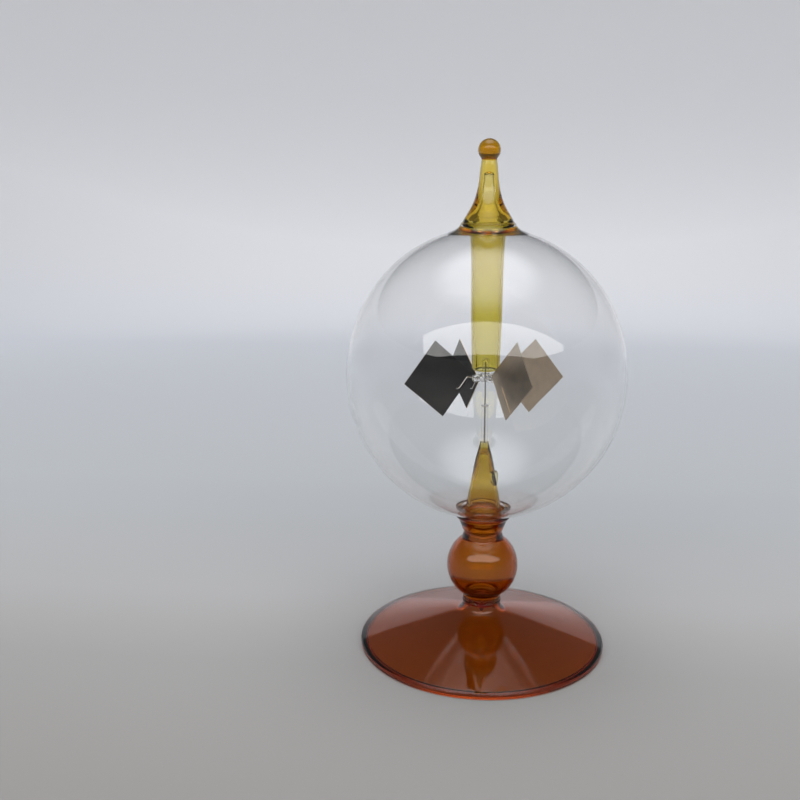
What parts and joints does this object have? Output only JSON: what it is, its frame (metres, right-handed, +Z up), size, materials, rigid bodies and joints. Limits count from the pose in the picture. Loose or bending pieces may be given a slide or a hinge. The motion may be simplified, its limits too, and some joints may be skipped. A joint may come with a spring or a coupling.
{
  "type": "crookes radiometer",
  "caption": "Light-mill: square vanes, black on one side, turn on a needle in an evacuated clear glass bulb on an amber glass stand with knop and trumpet foot.",
  "frame": {"origin": "centre of the foot's underside, on the surface that it stands on", "axes": "+Z up along the needle and the rotor's axis, +X to the viewer's right, +Y away from the viewer"},
  "size_m": [0.0904, 0.0904, 0.1677],
  "materials": {
    "amber_brown_glass": "fire polished, brown amber",
    "amber_olive_glass": "fire polished, olive amber",
    "clear_glass": "fire polished, clear",
    "needle_steel": "drawn",
    "arm_wire": "bright drawn wire",
    "vane_foil": "thin bright foil, slightly creased",
    "vane_black": "black coat"
  },
  "bodies": {
    "stand": {"foot": "amber_brown_glass", "pump_seal": "amber_brown_glass", "lower_neck": "amber_brown_glass", "knop": "amber_brown_glass", "waist": "amber_brown_glass", "collar": "amber_brown_glass", "bulb_seal": "amber_brown_glass", "bulb": "clear_glass", "spindle_cone": "amber_olive_glass", "needle_tube": "clear_glass", "needle": "needle_steel", "retainer_tube": "amber_olive_glass", "top_seal": "amber_olive_glass", "finial": "amber_olive_glass", "finial_ball": "amber_olive_glass"},
    "rotor": {"pivot_cup": "clear_glass", "hub": "clear_glass", "arm_1": "arm_wire", "arm_2": "arm_wire", "arm_3": "arm_wire", "arm_4": "arm_wire", "vane_1": "vane_foil", "vane_2": "vane_foil", "vane_3": "vane_foil", "vane_4": "vane_foil", "vane_coat_1": "vane_black", "vane_coat_2": "vane_black", "vane_coat_3": "vane_black", "vane_coat_4": "vane_black"}
  },
  "joints": [
    {"name": "rotor_spin", "type": "hinge", "parent": "stand", "child": "rotor", "pos_m": [0, 0, 0.0983], "axis": [0, 0, 1], "continuous": true}
  ]
}
